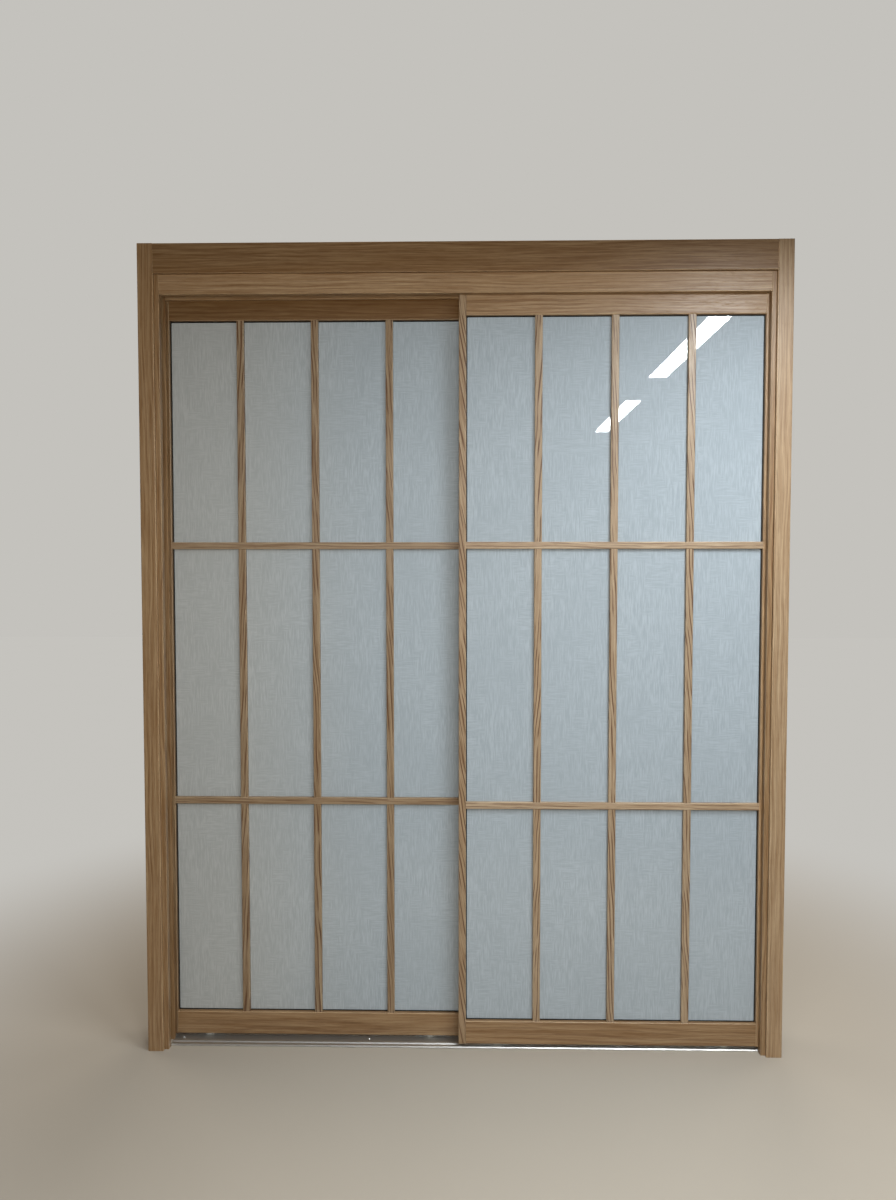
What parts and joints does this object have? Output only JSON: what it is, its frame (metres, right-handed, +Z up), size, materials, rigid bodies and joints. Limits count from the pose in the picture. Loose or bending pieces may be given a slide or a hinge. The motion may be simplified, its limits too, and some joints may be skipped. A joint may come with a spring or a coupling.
{
  "type": "pair of sliding lattice panels with frame",
  "caption": "Pair of glazed wooden lattice sliding panels on grooved wheels, running past each other in a two-lane jamb frame with a floor track.",
  "frame": {"origin": "on the floor, at the middle of the frame's width and depth", "axes": "+X along the wall to the viewer's right, +Y away from the room that the front faces, +Z up"},
  "size_m": [1.82, 0.1284, 2.3],
  "materials": {
    "oak": "oak grain, satin",
    "frosted_glass": "white fibre-patterned glass, glossy face",
    "black_rubber": "matt black",
    "track_aluminium": "anodised",
    "steel": "zinc plated",
    "white_nylon": "moulded"
  },
  "bodies": {
    "frame": {"left_jamb": "oak", "right_jamb": "oak", "head_jamb": "oak", "front_left_casing": "oak", "front_right_casing": "oak", "front_header_casing": "oak", "back_left_casing": "oak", "back_right_casing": "oak", "back_header_casing": "oak", "sill_track": "track_aluminium", "frame_screws": "steel", "jamb_buffers": "black_rubber"},
    "front_panel": {"front_left_stile": "oak", "front_right_stile": "oak", "front_top_rail": "oak", "front_bottom_rail": "oak", "front_outer_upright_bar_1": "oak", "front_outer_upright_bar_2": "oak", "front_outer_upright_bar_3": "oak", "front_outer_cross_bar_1": "oak", "front_outer_cross_bar_2": "oak", "front_inner_upright_bar_1": "oak", "front_inner_upright_bar_2": "oak", "front_inner_upright_bar_3": "oak", "front_inner_cross_bar_1": "oak", "front_inner_cross_bar_2": "oak", "front_glass": "frosted_glass", "front_gasket": "black_rubber", "front_roller_axles": "steel", "front_top_guides": "white_nylon", "front_panel_screws": "steel", "front_left_roller_housing": "steel", "front_right_roller_housing": "steel"},
    "front_left_wheel": {"front_left_roller_wheel": "white_nylon"},
    "front_right_wheel": {"front_right_roller_wheel": "white_nylon"},
    "rear_panel": {"rear_left_stile": "oak", "rear_right_stile": "oak", "rear_top_rail": "oak", "rear_bottom_rail": "oak", "rear_outer_upright_bar_1": "oak", "rear_outer_upright_bar_2": "oak", "rear_outer_upright_bar_3": "oak", "rear_outer_cross_bar_1": "oak", "rear_outer_cross_bar_2": "oak", "rear_inner_upright_bar_1": "oak", "rear_inner_upright_bar_2": "oak", "rear_inner_upright_bar_3": "oak", "rear_inner_cross_bar_1": "oak", "rear_inner_cross_bar_2": "oak", "rear_glass": "frosted_glass", "rear_gasket": "black_rubber", "rear_roller_axles": "steel", "rear_top_guides": "white_nylon", "rear_panel_screws": "steel", "rear_left_roller_housing": "steel", "rear_right_roller_housing": "steel"},
    "rear_left_wheel": {"rear_left_roller_wheel": "white_nylon"},
    "rear_right_wheel": {"rear_right_roller_wheel": "white_nylon"}
  },
  "joints": [
    {"name": "front_panel_slide", "type": "slide", "parent": "frame", "child": "front_panel", "axis": [-1, 0, 0], "range_m": [0, 0.8542]},
    {"name": "front_left_wheel_spin", "type": "hinge", "parent": "front_panel", "child": "front_left_wheel", "pos_m": [0.0975, -0.02025, 0.01992], "axis": [0, 1, 0], "continuous": true},
    {"name": "front_right_wheel_spin", "type": "hinge", "parent": "front_panel", "child": "front_right_wheel", "pos_m": [0.7567, -0.02025, 0.01992], "axis": [0, 1, 0], "continuous": true},
    {"name": "rear_panel_slide", "type": "slide", "parent": "frame", "child": "rear_panel", "axis": [-1, 0, 0], "range_m": [-0.8542, 0]},
    {"name": "rear_left_wheel_spin", "type": "hinge", "parent": "rear_panel", "child": "rear_left_wheel", "pos_m": [-0.7567, 0.02025, 0.01992], "axis": [0, 1, 0], "continuous": true},
    {"name": "rear_right_wheel_spin", "type": "hinge", "parent": "rear_panel", "child": "rear_right_wheel", "pos_m": [-0.0975, 0.02025, 0.01992], "axis": [0, 1, 0], "continuous": true}
  ],
  "couplings": [
    {"joint": "front_left_wheel_spin", "follows": "front_panel_slide", "rad_per_m": -61.538},
    {"joint": "front_right_wheel_spin", "follows": "front_panel_slide", "rad_per_m": -61.538},
    {"joint": "rear_left_wheel_spin", "follows": "rear_panel_slide", "rad_per_m": -61.538},
    {"joint": "rear_right_wheel_spin", "follows": "rear_panel_slide", "rad_per_m": -61.538}
  ]
}
